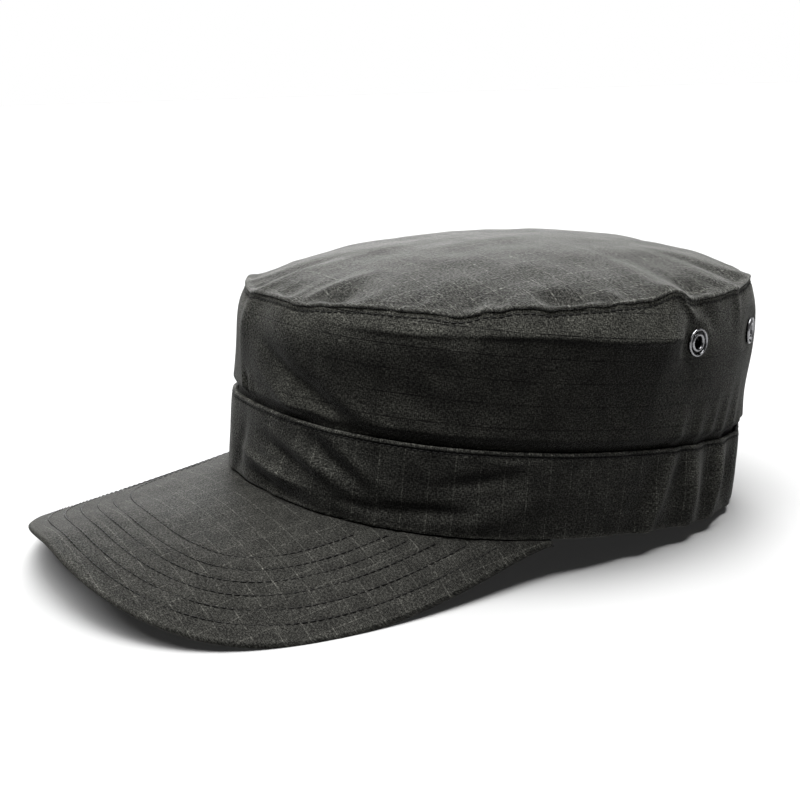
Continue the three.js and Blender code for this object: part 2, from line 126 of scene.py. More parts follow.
# Peak: the sheet starts at the rim and runs forwards and down. Its droop is in degrees below the rim plane
PEAK_HALF_ANGLE = 72.1
PEAK_LENGTH = 76.3
PEAK_FAN = 0.313
PEAK_TAPER_POWER = 5.45
PEAK_TAPER_SHARPNESS = 2.6
PEAK_DROOP_MIDDLE = 10.2
PEAK_DROOP_ENDS = 34.6
PEAK_DROOP_POWER = 1.4
PEAK_ROOT = 3.4  # of it that lies under the band
PEAK_END = 0.985  # share of its half angle at which it stops

# Eyelets, in pairs on both sides
Eyelet = namedtuple("Eyelet", "node azimuth height")
EYELETS = [
    Eyelet("eyelet_left_front", 104.1, 66.8),
    Eyelet("eyelet_left_rear", 130.7, 68.9),
    Eyelet("eyelet_right_front", -104.1, 66.8),
    Eyelet("eyelet_right_rear", -130.7, 68.9),
]
EYELET_FLANGE = 4.85
EYELET_BARREL = 2.75
EYELET_SIDES = 48
EYELET_CALM = (1, 6)  # how far outside its flange folds set in, and are full
# polished on its raised rims; nearer the cloth and in its groove the metal is painted darker, as shade
EYELET_POLISH_AND_SHADE = (0.3, 1.1)  # how far out of the cloth its polish does
HOLE_DEPTH = 6  # how far to each side of the cloth a hole reaches

# The section of an eyelet: radius, and how far out of the cloth
EYELET_PROFILE = [
    (2.15, 0.3), (2.15, -2.45), (2.6, -2.45), (4.2, -2.45), (4.2, -1.95), (2.75, -1.95), (2.75, -0.1),
    (4.6, -0.1), (4.9, 0.2), (5, 0.6), (4.9, 1), (4.65, 1.2), (4.4, 1.15), (4.25, 0.9), (4.15, 0.5),
    (3.95, 0.2), (3.7, 0.12), (3.45, 0.3), (3.3, 0.7), (3.1, 1), (2.8, 1.15), (2.5, 1.05), (2.3, 0.8),
]

# Rows of stitches, and the grooves that they pull into the cloth. Drops are below the edge that they follow
GROOVE_DEPTH = 0.3
PEAK_GROOVE_DEPTH = 0.15
GROOVE_HALF_WIDTH = 0.6
SEAM_STITCH_DROP = 1.4
SEAM_STITCH_PITCH = 2.6
SEAM_SCALLOPS = 225  # bulges of the side's upper end up to the top, between its stitches
BAND_STITCH_DROP = 1.8
BAND_STITCH_PITCH = 2.2
PEAK_STITCH_PITCH = 2.6
PEAK_STITCH_ROWS = [6.2, 12, 18, 24, 29.8, 36.4]  # from the peak's outer edge
STITCH_SHARE = 0.84  # of the pitch that a stitch takes
STITCH_RADIUS = 0.22
STITCH_SIDES = 6
STITCH_STATIONS = [-1, -0.75, -0.3, 0.3, 0.75, 1]  # from one end of a stitch to the other
STITCH_TIP = 0.05  # how blunt its ends are
STITCH_RISE = 0.9  # of its middle over the cloth, in radii
STITCH_DIVE = 1.4  # of its ends below its middle, in radii
STITCH_DIVE_POWER = 4
RING_STATIONS = 1440  # places round the head where a row's path is worked out
RING_STEP = 0.4  # up and down from them, to find the way up the wall
PEAK_ROW_MARGIN = 0.5  # a row runs where the rim is this much further from the edge
PEAK_ROW_STEP = 0.01  # share of the way out, to find the way across the peak
QUILT_RISE = 0.04  # of the peak's cloth between its rows
QUILT_HALF_WIDTH = 2
PEAK_EDGE_CALM = 3  # over this distance from its edge the peak's cloth is smooth

# Small unevenness of the cloth
UNEVENNESS = 0.4
TOP_UNEVENNESS = 0.35
PEAK_UNEVENNESS = 0.2
SEAM_PUCKER = 0.3  # in and out, along the edges of the band and the crown
SEAM_JITTER = 0.2  # of the crown's seam, up and down
PUCKER_REACH = 3.5

# The tone that each point carries makes the cloth lighter, or darker under 0, by a share of its own shade:
# painted light and shade, with some edge wear. The walls are painted lighter where their folds face up and
# darker where they face down, as the light from above falls on them
PAINTED_FACING_LIGHT = 2.2
PAINTED_FACING_LIGHT_LIMIT = 0.75
# painted highlight on the band's ridges, where they would catch the light
RIDGE_HIGHLIGHT = 0.4  # for each millimetre that a ridge of the band stands out

# Painted lines along edges, rows of stitches and the crease: painted highlights with edge wear along the
# edges, painted light under the seam's overhang, and painted shade in the stitch grooves and along the
# crease
LitAndWornLine = namedtuple("LitAndWornLine", "place half_width wear")
BAND_LIT_AND_WORN = [  # by the height above the rim
    # painted highlight with edge wear along the band's folded upper edge
    LitAndWornLine(BAND_HEIGHT, 0.5, 0.7),
    # painted highlight with edge wear along the band's lower edge
    LitAndWornLine(0, 1, 2.6),
    # painted shade in the stitch groove
    LitAndWornLine(BAND_HEIGHT - BAND_STITCH_DROP, 0.8, -0.35),
]
SIDE_PAINTED_LIGHT = [  # below the crown's seam
    # painted light that lifts the shade under the seam's overhang
    LitAndWornLine(0.6, 0.5, 0.7),
    # painted shade in the stitch groove
    LitAndWornLine(SEAM_STITCH_DROP, 0.5, -0.3),
]
# painted shade along the crease
CREASE_PAINTED_SHADE = [LitAndWornLine(0, 0.7, -0.25)]
# painted highlight with edge wear along the top's rolled edge at the seam
TOP_LIT_AND_WORN = [LitAndWornLine(1, 0.008, 0.4)]  # by the share of the way to its seam
# painted highlight with edge wear along the peak's outer edge
PEAK_LIT_AND_WORN = [LitAndWornLine(0, 1, 0.3)]  # from its outer edge
# painted highlight with edge wear on the peak's rolled edge
PEAK_ROLL_WEAR_AND_HIGHLIGHT = 0.3  # of its rolled edge
# painted shade in the peak's stitch grooves
PEAK_GROOVE_PAINTED_SHADE = -0.12

# How finely the cloth is divided: columns round the head, and rows up a wall or out from the middle
ROLL_ROWS = 9  # round a rolled edge
COLUMNS = 900
BAND_ROWS = 40
BAND_EDGE_SHARE = 0.86  # of its height, above which the band's rows lie closer
EDGE_ROWS = 18  # of a wall, near its upper edge
INSIDE_ROWS = 14
TUCKED_ROWS = [-7.4, -3.5, -0.4]  # of the side, from the band's upper edge
PUFF_ROWS = 9  # where the side rolls out above the band
PUFF_FIRST_ROW = 0.2
SIDE_ROWS = 54
SEAM_ROWS_HEIGHT = 4.5  # below the seam, over which the side's rows lie closer
SIDE_INSIDE_STRIDE = 6  # the inner face keeps one row in this many
TOP_COLUMNS = 720
TOP_ROWS = 34
TOP_EDGE_ROWS = 36
TOP_EDGE_SHARE = 0.8  # of the way to the seam, from which the top's rows lie closer
TOP_END_SHARE = 0.996  # where its rolled edge starts
TOP_ROLL_INSET = 0.002  # share by which that edge lies inside the seam
TOP_UNDER_ROWS = 16
TOP_UNDER_SHARE = 0.975  # where its under side starts
TOP_UNDER_FLAT = 2.02  # the flat cloth of the under side is mirrored about half of this
TOP_CALM_SHARE = 0.035  # over which the top's folds set in, from its seam
PEAK_COLUMNS = 300
PEAK_ROWS = 190
PEAK_UNDER_ROWS = 36
PEAK_TIP_ROWS = 3  # the edge rolls on the way that its last rows run

# Each fold is a soft ridge (depth over 0) or valley (under 0). azimuth and rise give its middle, rise
# running from 0 at the lower edge to 1 at the upper one; half_width is in degrees, reach is a share of
# the height, and lean is how many degrees it moves round the head from the lower edge to the upper one.
Fold = namedtuple("Fold", "azimuth rise half_width reach lean depth")
BAND_FOLDS = [Fold(*row) for row in [
    (-40, 0.5, 6, 0.5, 12, -1.1),
    (-15, 0.6, 3.5, 0.5, 0, 0.9),
    (-9, 0.4, 2.2, 0.4, 6, -0.9),
    (4.5, 0.13, 8, 0.08, -90, -1.7),
    (5.5, 0.31, 8, 0.09, -90, 1.9),
    (12, 0.52, 6, 0.15, -50, -1.9),
    (19, 0.54, 5, 0.2, -40, 1.3),
    (23.5, 0.68, 4, 0.24, -24, -1.9),
    (29, 0.66, 4, 0.26, -24, 1.2),
    (31, 0.2, 9, 0.07, -60, -0.5),
    (44, 0.25, 8, 0.08, 30, -1.2),
    (54, 0.64, 5, 0.1, 40, -1.1),
    (60.5, 0.86, 4, 0.06, 0, 0.6),
    (58, 0.3, 6, 0.25, 30, 0.7),
    (70, 0.2, 6, 0.3, 20, -0.5),
    (80, 0.45, 7, 0.4, 8, 0.5),
    (94.5, 0.5, 3, 0.6, 7, -0.8),
    (99.5, 0.42, 2.2, 0.5, 7.3, 2.1),
    (105, 0.5, 3, 0.5, 3, -1.3),
    (110.5, 0.5, 2.7, 0.5, 0, 2.6),
    (116.5, 0.5, 2.6, 0.5, 1, -1.3),
    (121.5, 0.5, 2.6, 0.5, 2.5, 2.6),
]]

# The elastic gathers the hidden back and right of the band in the same way, worked out by a rule
GATHER_FROM = 129
GATHER_TO = 265
GATHER_STEP = 10.5
GATHER_DEPTH = 1.4
GATHER_LEAN = 3
GATHER_LEAN_TURN = 2.4  # radians from one gather to the next, in the wave that their lean follows
GATHER_FOLD = Fold(0, 0.5, 3, 0.5, 0, 0)

CROWN_FOLDS = [Fold(*row) for row in [
    (-70, 0.35, 9, 0.35, -14, -1.3),
    (-32, 0.45, 7, 0.4, 8, -1.2),
    (-8.5, 0.8, 2.8, 0.4, 4, 1.5),
    (-1, 0.85, 4, 0.25, 0, -0.8),
    (-9.5, 0.12, 1.2, 0.12, -8, 0.6),
    (-7.2, 0.12, 1.3, 0.14, -8, -1),
    (-4.8, 0.1, 1.3, 0.13, -8, 0.9),
    (8, 0.16, 3.4, 0.18, -44, 1.2),
    (15.5, 0.3, 5, 0.26, -46, -2.7),
    (30, 0.16, 4, 0.12, -46, 0.6),
    (22, 0.7, 7, 0.2, -10, 0.6),
    (31, 0.15, 5, 0.2, -14, 0.5),
    (44, 0.12, 10, 0.2, 0, -0.5),
    (40, 0.35, 5, 0.2, -30, -0.8),
    (46, 0.74, 8, 0.12, 0, 0.7),
    (66, 0.3, 9, 0.25, 20, 0.5),
    (101.5, 0.92, 1.9, 0.15, -34, 1.2),
    (107, 0.93, 2.8, 0.16, -30, -0.8),
    (103.5, 0.05, 1.5, 0.17, 8, 0.9),
    (110.5, 0.05, 1.7, 0.17, 8, 1),
    (116, 0.06, 1.4, 0.2, 8, 0.8),
    (121, 0.06, 1.6, 0.22, 10, 1),
    (127, 0.06, 1.6, 0.22, 8, 1),
    (122, 0.92, 1.8, 0.14, 0, 1),
    (145, 0.58, 10, 0.3, 0, 1.7),
    (149, 1, 8, 0.14, 0, -1.9),
    (185, 0.55, 10, 0.4, 10, 1),
    (215, 0.4, 8, 0.4, 10, -1.3),
    (250, 0.7, 9, 0.3, -10, 0.9),
]]

# The elastic also puckers the crown just above the hidden back and right of the band
PUCKER_FROM = 133
PUCKER_COUNT = 19
PUCKER_STEP = 7.3
PUCKER_FOLD = Fold(0, 0.05, 1.7, 0.18, 6, 0.9)

# At the left a crease runs along the crown's side: the cloth leans out towards it from the seam, then
# drops back in below it. Its height is above the rim
CREASE_FROM = (18, 34)
CREASE_TO = (92, 104)
CREASE_HEIGHT = 65.5
CREASE_SLOPE = 0.032  # rise for each degree round the head
CREASE_LEAN = 0.38  # outwards for each millimetre below the seam
CREASE_BELOW = 14  # it dies out below its line over this height
CREASE_EDGE = 2  # height of its edge
CREASE_WAVE = 0.7  # how far its line waves up and down
CREASE_STEP = 7.8  # degrees round the head for each radian of that wave
CREASE_LEFT = 0.8  # share of it that is left just below the edge

# Low waves of the seam between the side and the top
Wave = namedtuple("Wave", "azimuth half_width lift")
SEAM_WAVES = [Wave(*row) for row in [
    (-40, 6, -1.2),
    (-12, 5, -0.9),
    (12, 5, -0.9),
    (28, 7, 0.7),
    (46.5, 4, -1.5),
    (59.5, 4.5, 1),
    (65, 1.5, -0.5),
    (96, 4.5, 1.9),
    (103, 3.5, -1.1),
    (110, 8, -2),
    (124, 8, -1.5),
    (148, 9, -2.2),
    (160, 8, -1.4),
    (171, 10, -2),
    (205, 10, 1),
    (262, 10, -1.4),
    (285, 10, 0.9),
    (310, 9, -1.8),
]]

# Folds of the top: rise is the share of the way from the middle of the top to its seam
TOP_FOLDS = [Fold(*row) for row in [
    (-31, 0.94, 9, 0.06, 0, -1.8),
    (-14, 0.93, 4, 0.2, 0, -1.6),
    (-8, 0.88, 2.4, 0.15, 19, 0.8),
    (3, 0.95, 3.6, 0.06, 0, -1.6),
    (13.5, 0.9, 2.6, 0.14, -21, 0.9),
    (19.5, 0.945, 3.8, 0.06, 0, -2.3),
    (30, 0.9, 5, 0.12, 0, 0.5),
    (40, 0.97, 0.8, 0.035, 0, 0.6),
    (46, 0.965, 0.8, 0.045, 0, 0.7),
    (52, 0.95, 5, 0.06, 0, -0.7),
    (69, 0.955, 5, 0.05, 40, -2.6),
    (79, 0.95, 3, 0.08, 0, 0.6),
    (92, 0.9, 5, 0.15, 0, 0.5),
    (101, 0.95, 2, 0.08, 0, 0.6),
    (108, 0.94, 4, 0.06, 0, -2.2),
    (118, 0.93, 3, 0.12, 0, 0.4),
    (128, 0.92, 3, 0.2, 0, -1.3),
    (147, 0.94, 9, 0.07, 0, -1.8),
    (170, 0.85, 8, 0.25, 6, -1.5),
    (220, 0.85, 8, 0.25, -6, -1.3),
    (275, 0.88, 7, 0.2, 6, -1.4),
    (320, 0.86, 7, 0.22, 0, -1.3),
]]

PEAK_FOLDS = [Fold(*row) for row in [
    (0, 1, 12, 0.14, 0, 0.7),
    (-22, 0.9, 6, 0.3, 0, -0.6),
    (30, 0.55, 10, 0.3, 0, 0.5),
]]

# How the cloth of each node looks. The tints belong to one black cloth: the top's is painted lighter and
# the side's and the band's darker, as the light falls on each piece. along and across are how much lighter
# (or darker, under 0) its thick threads are painted: those that run along the flat cloth's first axis, and
# those that cross it. Lighter threads are partly the cloth's pattern and partly painted highlight where the
# raised threads catch the light; darker ones are painted shade beside the raised threads. thread is how
# wide its fine threads are, and grit how uneven they are
Cloth = namedtuple("Cloth", "tint sheen along across thread grit")
CLOTHS = {
    "crown_top": Cloth((0.025, 0.025, 0.0225), 0.31, 1.6, 1.6, 0.4, 1),
    "crown_side": Cloth((0.0158, 0.0158, 0.0136), 0.13, -0.85, 0.2, 0.32, 1.15),
    "band": Cloth((0.0134, 0.0134, 0.0118), 0.12, 0.6, 1.3, 0.32, 1.15),
    "peak": Cloth((0.0196, 0.0194, 0.0172), 0.02, 1.15, 0.9, 0.3, 1),
}
RIPSTOP_PITCH = 8  # of the thick threads
RIPSTOP_WIDTH = 0.28
RIPSTOP_HEIGHT = 0.8  # of a thick thread, where a fine one has 1
PATCHES_ALONG = (17, 4, 1)  # in which the threads along the first axis fade
PATCHES_ACROSS = (4, 17, 1)
PATCH_EDGE = (0.4, 0.58)  # of the noise that makes them
PATCH_LEFT = 0.5  # of a thread in a faded patch

# Marks of the fine threads: their size on the flat cloth, in threads, and how much they vary its shade
Marks = namedtuple("Marks", "along across variation")
WARP = Marks(1, 3, 0.6)
WEFT = Marks(3, 1, 0.6)
SLUBS = Marks(12, 1.5, 0.2)
CLOUD_GRAIN = (7, 7, 1)
CLOUD_VARIATION = 0.2
NOISE_SPAN = (0.3, 0.7)  # noise seldom leaves it
WEAVE_SPAN = (0.5, 1.5)  # of the weave's height, over which its roughness changes
CLOTH_ROUGHNESS = (0.88, 0.72)
CLOTH_RELIEF = 0.12
SHEEN_TINT = (1, 1, 0.96, 1)

THREAD_TINT = (0.008, 0.008, 0.0075)
THREAD_ROUGHNESS = (0.65, 0.45)
THREAD_RELIEF = 0.1
PLY_GRAIN = (0.18, 0.18, 0.1)
PLY_SHADES = (0.5, 1.5)
FLUFF_GRAIN = (2, 2, 2)
FLUFF_SHADES = (0.6, 1.5)

METAL_TINT = (0.28, 0.28, 0.29)
METAL_ROUGHNESS = (0.2, 0.4)
METAL_RELIEF = 0.05
RUBBED_GRAIN = (1.6, 1.6, 1.6)
RUBBED_EDGE = (0.4, 0.7)  # of its noise
RUBBED_SHADES = (0.8, 1.2)
SCRATCH_GRAIN = (0.12, 0.9, 0.5)
SCRATCH_SHADES = (0.85, 1.15)
# painted shade deep in the cloth and in the groove, full polish on the raised rim
POLISH_AND_PAINTED_SHADE = (0.1, 1)  # deep in the cloth and on the polished rim

# Studio: a plain floor, four soft lamps far away and a white background. A lamp's direction points from the
# cap to it, and its width is its angle in the sky, in degrees
FLOOR_HALF = 30  # metres
FLOOR_ALBEDO = 0.36
FLOOR_GLOW = 0.02  # keeps its deepest shadows from going black
AMBIENT = 0.03  # light that the background gives
Lamp = namedtuple("Lamp", "name direction width strength")
LAMPS = [
    Lamp("overhead", (-0.02, 0.12, 1), 40, 1.6),
    Lamp("top_fill", (0.02, -0.08, 1), 35, 0.6),
    Lamp("front", (-0.25, -0.45, 1), 36, 0.8),
    Lamp("behind", (-0.83, 0.5, 0.27), 32, 1.6),
]


def gather_folds():
    folds = []
    for i in range(int((GATHER_TO - GATHER_FROM) / GATHER_STEP) + 1):
        azimuth = GATHER_FROM + i * GATHER_STEP
        shape = GATHER_FOLD._replace(lean=GATHER_LEAN * math.sin(i * GATHER_LEAN_TURN))
        folds.append(shape._replace(azimuth=azimuth, depth=-GATHER_DEPTH))
        folds.append(shape._replace(azimuth=azimuth + GATHER_STEP / 2, depth=GATHER_DEPTH))
    return folds


def pucker_folds():
    return [PUCKER_FOLD._replace(azimuth=PUCKER_FROM + i * PUCKER_STEP) for i in range(PUCKER_COUNT)]


ALL_BAND_FOLDS = BAND_FOLDS + gather_folds()
ALL_CROWN_FOLDS = CROWN_FOLDS + pucker_folds()


def mix(a, b, share):
    return a + (b - a) * share


def unit(vectors):
    return vectors / np.linalg.norm(vectors, axis=-1, keepdims=True)


def smoothstep(value, low, high):
    share = np.clip((value - low) / (high - low), 0, 1)
    return share * share * (3 - 2 * share)


def joined(*axes):
    """Points from their coordinates."""
    return np.stack(np.broadcast_arrays(*axes), -1)


def turn_between(azimuth, other):
    return (azimuth - other + 180) % 360 - 180


def fold_depth(folds, azimuth, rise):
    """The depth of all the folds together at a place."""
    depth = np.zeros(np.broadcast(azimuth, rise).shape)
    for fold in folds:
        middle = fold.azimuth + fold.lean * (rise - fold.rise)
        across = turn_between(azimuth, middle) / fold.half_width
        along = (rise - fold.rise) / fold.reach
        depth += fold.depth * np.exp(-across ** 2 - along ** 2)
    return depth


def ring_point(ring, azimuth, offset):
    """x and y on a ring, moved outwards by an offset."""
    s, c = np.sin(np.radians(azimuth)), np.cos(np.radians(azimuth))
    reach = np.abs(s / ring.half_width) ** ring.power + np.abs(c / ring.half_length) ** ring.power
    radius = reach ** (-1 / ring.power)
    x, y = radius * s, -radius * c
    out_x = np.sign(x) * np.abs(x / ring.half_width) ** (ring.power - 1) / ring.half_width
    out_y = np.sign(y) * np.abs(y / ring.half_length) ** (ring.power - 1) / ring.half_length
    size = np.hypot(out_x, out_y)
    return x + offset * out_x / size, y + offset * out_y / size + ring.shift_back


def rim_height(azimuth):
    return RIM_WAVE * np.cos(2 * np.radians(azimuth))


def random_waves(seed, count, shortest, longest):
    """Plane waves in random directions, each as three wave numbers per millimetre and a phase."""
    pick = np.random.default_rng(seed)
    heading = unit(pick.normal(size=(count, 3)))
    length = pick.uniform(shortest, longest, (count, 1))
    return np.hstack([heading * 2 * math.pi / length, pick.uniform(0, 2 * math.pi, (count, 1))])


def ripple(waves, x, y, z):
    """The sum of the waves at a place, seldom over 1."""
    total = 0
    for across_x, across_y, across_z, phase in waves:
        total = total + np.sin(across_x * x + across_y * y + across_z * z + phase)
    return total / math.sqrt(2 * len(waves))


CLOTH_WAVES = random_waves(seed=3, count=24, shortest=14, longest=42)
SEAM_RIPPLES = random_waves(seed=8, count=16, shortest=5, longest=13)


def seam_plane(y):
    return SEAM_HEIGHT + SEAM_SLOPE * y


def seam_wave(azimuth):
    x, y = ring_point(SEAM, azimuth, 0)
    lift = SEAM_JITTER * ripple(SEAM_RIPPLES, x, y, 0)
    for wave in SEAM_WAVES:
        lift = lift + wave.lift * np.exp(-(turn_between(azimuth, wave.azimuth) / wave.half_width) ** 2)
    return lift


def seam_height(azimuth):
    return seam_plane(ring_point(SEAM, azimuth, 0)[1]) + seam_wave(azimuth)


def band_top(azimuth):
    return rim_height(azimuth) + BAND_HEIGHT


def eyelet_calm(azimuth, height):
    """Folds die out round each eyelet: 0 at its middle, 1 well away from it."""
    calm = np.ones(np.broadcast(azimuth, height).shape)
    for eyelet in EYELETS:
        across = np.radians(turn_between(azimuth, eyelet.azimuth)) * RIM.half_width
        distance = np.hypot(across, height - eyelet.height)
        calm = np.minimum(calm, smoothstep(distance - EYELET_FLANGE, *EYELET_CALM))
    return calm


def bump_at(value, middle, half_width):
    return np.exp(-((value - middle) / half_width) ** 2)


def lit_and_worn_lines(lines, value):
    return sum(line.wear * bump_at(value, line.place, line.half_width) for line in lines)


def seam_pucker(x, y, *distances):
    """How far the cloth next to its edges is puckered, by its distance from each of them."""
    near = sum(bump_at(distance, 0, PUCKER_REACH) for distance in distances)
    return SEAM_PUCKER * ripple(SEAM_RIPPLES, x, y, 0) * near


def band_point(azimuth, rise, inwards):
    """A point of the band. Its rows of stitches pull thin grooves into it."""
    height = rise * BAND_HEIGHT
    grooves = bump_at(height, BAND_HEIGHT - BAND_STITCH_DROP, GROOVE_HALF_WIDTH)
    x, y = ring_point(RIM, azimuth, 0)
    uneven = UNEVENNESS * ripple(CLOTH_WAVES, x, y, height)
    uneven = uneven + seam_pucker(x, y, height - BAND_HEIGHT, height)
    offset = fold_depth(ALL_BAND_FOLDS, azimuth, rise) + uneven - GROOVE_DEPTH * grooves - inwards
    x, y = ring_point(RIM, azimuth, offset)
    return joined(x, y, rim_height(azimuth) + height)


def crease_line(azimuth):
    """The height of the crease at the left, and how strong it is."""
    span = smoothstep(azimuth, *CREASE_FROM) * (1 - smoothstep(azimuth, *CREASE_TO))
    return CREASE_HEIGHT + CREASE_SLOPE * azimuth + CREASE_WAVE * np.sin(azimuth / CREASE_STEP), span


def crease(azimuth, height):
    """How far the crease at the left pushes the crown's side out."""
    line, span = crease_line(azimuth)
    above = height - line
    strip = seam_height(azimuth) - line
    over = np.clip(1 - above / strip, 0, 1)
    under = CREASE_LEFT * np.exp(np.minimum(above, 0) / CREASE_BELOW)
    return CREASE_LEAN * strip * span * mix(under, over, smoothstep(above, -CREASE_EDGE, 0))


def crown_point(azimuth, above, inwards):
    """A point of the crown's side, at a height above the band's upper edge and a depth inwards."""
    height = band_top(azimuth) + above
    free_height = seam_height(azimuth) - band_top(azimuth)
    share = np.clip(above / free_height, 0, 1)
    swell = CROWN_SWELL * np.sin(np.pi * share ** SWELL_POWER)
    below_seam = free_height - above
    x, y = ring_point(RIM, azimuth, 0)
    ease = smoothstep(below_seam, 0, PUCKER_REACH)
    uneven = UNEVENNESS * ripple(CLOTH_WAVES, x, y, height) * ease + seam_pucker(x, y, below_seam)
    groove = GROOVE_DEPTH * bump_at(below_seam, SEAM_STITCH_DROP, GROOVE_HALF_WIDTH)
    shape = fold_depth(ALL_CROWN_FOLDS, azimuth, share) + crease(azimuth, height) + uneven
    free = shape * eyelet_calm(azimuth, height) + swell - groove
    tucked = fold_depth(ALL_BAND_FOLDS, azimuth, np.clip(1 + above / BAND_HEIGHT, 0, 1))
    puff = smoothstep(above, PUFF_START, PUFF_HEIGHT)
    offset = mix(tucked - BAND_THICKNESS - GAP, free, puff) - inwards
    low, high = ring_point(RIM, azimuth, offset), ring_point(SEAM, azimuth, offset)
    x, y = mix(low[0], high[0], share), mix(low[1], high[1], share)
    return joined(x, y, height)


def top_point(azimuth, share, below):
    """A point of the crown's top, by its share of the way from the middle to the seam, and its depth."""
    edge_x, edge_y = ring_point(SEAM, azimuth, fold_depth(ALL_CROWN_FOLDS, azimuth, 1))
    x = edge_x * share
    y = SEAM.shift_back + (edge_y - SEAM.shift_back) * share
    dome = DOME_RISE * (1 - share ** DOME_POWER)
    wave = seam_wave(azimuth) * share ** SEAM_WAVE_FADE
    inside_seam = (1 - share) * SEAM.half_width
    pucker = seam_pucker(edge_x, edge_y, inside_seam - PUCKER_REACH)
    uneven = TOP_UNEVENNESS * ripple(CLOTH_WAVES, x, y, 0) + pucker
    lift = (fold_depth(TOP_FOLDS, azimuth, share) + uneven) * smoothstep(1 - share, 0, TOP_CALM_SHARE)
    z = seam_plane(y) + SEAM_LIFT + dome + wave + lift - below
    return joined(x, y, z)


def peak_ruling(azimuth):
    """The way from the rim to the peak's outer edge: its heading, and its droop below the rim plane."""
    away = np.abs(azimuth) / PEAK_HALF_ANGLE
    droop = np.radians(mix(PEAK_DROOP_MIDDLE, PEAK_DROOP_ENDS, away ** PEAK_DROOP_POWER))
    heading = np.radians(PEAK_FAN * azimuth)
    return heading, droop


def peak_reach(azimuth):
    away = np.abs(azimuth) / PEAK_HALF_ANGLE
    return PEAK_LENGTH * (1 - away ** PEAK_TAPER_POWER) ** PEAK_TAPER_SHARPNESS


def peak_point(azimuth, share, below):
    """A point of the peak, by its share of the way from the rim to the outer edge, and its depth."""
    heading, droop = peak_ruling(azimuth)
    reach = peak_reach(azimuth)
    deep = below - fold_depth(PEAK_FOLDS, azimuth, share) * share
    ahead = share * reach * np.cos(droop) - deep * np.sin(droop)
    down = share * reach * np.sin(droop) + deep * np.cos(droop)
    x, y = ring_point(RIM, azimuth, 0)
    z = rim_height(azimuth) - GAP - down
    return joined(x + ahead * np.sin(heading), y - ahead * np.cos(heading), z)


def third_corner(first, second, from_first, from_second):
    """The flat place at known distances from two others, to the left of the line between them."""
    line = second - first
    length = np.hypot(*line)
    along = (from_first ** 2 - from_second ** 2 + length ** 2) / (2 * length)
    across = math.sqrt(max(from_first ** 2 - along ** 2, 0))
    return first + along * line / length + across * np.array([-line[1], line[0]]) / length


def unfolded_peak(azimuths):
    """The peak laid out flat, as its cloth was cut: where each ruling starts and which way it runs. The
    azimuths run out from the middle."""
    heading, droop = peak_ruling(azimuths)
    x, y = ring_point(RIM, azimuths, 0)
    inner = joined(x, y, rim_height(azimuths))
    way = joined(np.sin(heading) * np.cos(droop), -np.cos(heading) * np.cos(droop), -np.sin(droop))
    outer = inner + PEAK_LENGTH * way
    starts, ends = [np.zeros(2)], [np.array([0, -PEAK_LENGTH])]
    for i in range(1, len(azimuths)):
        start = third_corner(
            starts[-1], ends[-1],
            np.linalg.norm(inner[i] - inner[i - 1]), np.linalg.norm(inner[i] - outer[i - 1]),
        )
        end = third_corner(start, ends[-1], PEAK_LENGTH, np.linalg.norm(outer[i] - outer[i - 1]))
        starts.append(start)
        ends.append(end)
    starts, ends = np.array(starts), np.array(ends)
    return starts, (ends - starts) / PEAK_LENGTH


def painted_facing_light(grid):
    """Painted light and shade: how much lighter (or darker, under 0) a wall's cloth is painted where it
    faces up (or down), as the light from above would fall on it. The grid has a column for each azimuth,
    all the way round."""
    along = np.roll(grid, -1, axis=0) - np.roll(grid, 1, axis=0)
    out = np.cross(along, np.gradient(grid, axis=1))
    return np.clip(PAINTED_FACING_LIGHT * unit(out)[..., 2], -PAINTED_FACING_LIGHT_LIMIT, PAINTED_FACING_LIGHT_LIMIT)


def at_rest(points):
    """From the cap's own frame to the scene's, with the cloth flat where it meets the floor."""
    pitch = math.radians(REST_PITCH)
    x, y, z = points[..., 0], points[..., 1], points[..., 2]
    placed_y = y * math.cos(pitch) + z * math.sin(pitch) + REST_SHIFT
    placed_z = z * math.cos(pitch) - y * math.sin(pitch) + REST_LIFT
    return joined(x, placed_y, np.maximum(placed_z, 0))


def mesh_object(name, points, faces, cloth=None, wear=None):
    """An object from points in millimetres and their faces. cloth has the place of each face's corner on
    the flat cloth, and the last argument each point's painted light and shade with edge wear, or, where the
    object is metal, its polish and painted shade."""
    mesh = bpy.data.meshes.new(name)
    mesh.vertices.add(len(points))
    mesh.vertices.foreach_set("co", (points * MM).ravel())
    mesh.loops.add(faces.size)
    mesh.loops.foreach_set("vertex_index", faces.ravel())
    mesh.polygons.add(len(faces))
    mesh.polygons.foreach_set("loop_start", np.arange(0, faces.size, faces.shape[1]))
    mesh.polygons.foreach_set("use_smooth", np.ones(len(faces), bool))
    mesh.update(calc_edges=True)
    if cloth is not None:
        mesh.uv_layers.new(name="cloth").data.foreach_set("uv", (cloth * MM).ravel())
    if wear is not None:
        mesh.attributes.new("wear", "FLOAT", "POINT").data.foreach_set("value", wear.ravel())
    work = bmesh.new()
    work.from_mesh(mesh)
    bmesh.ops.remove_doubles(work, verts=work.verts, dist=WELD * MM)
    bmesh.ops.delete(work, geom=[vertex for vertex in work.verts if not vertex.link_faces], context="VERTS")
    bmesh.ops.recalc_face_normals(work, faces=work.faces)
    work.to_mesh(mesh)
    work.free()
    return put_in_scene(name, mesh)


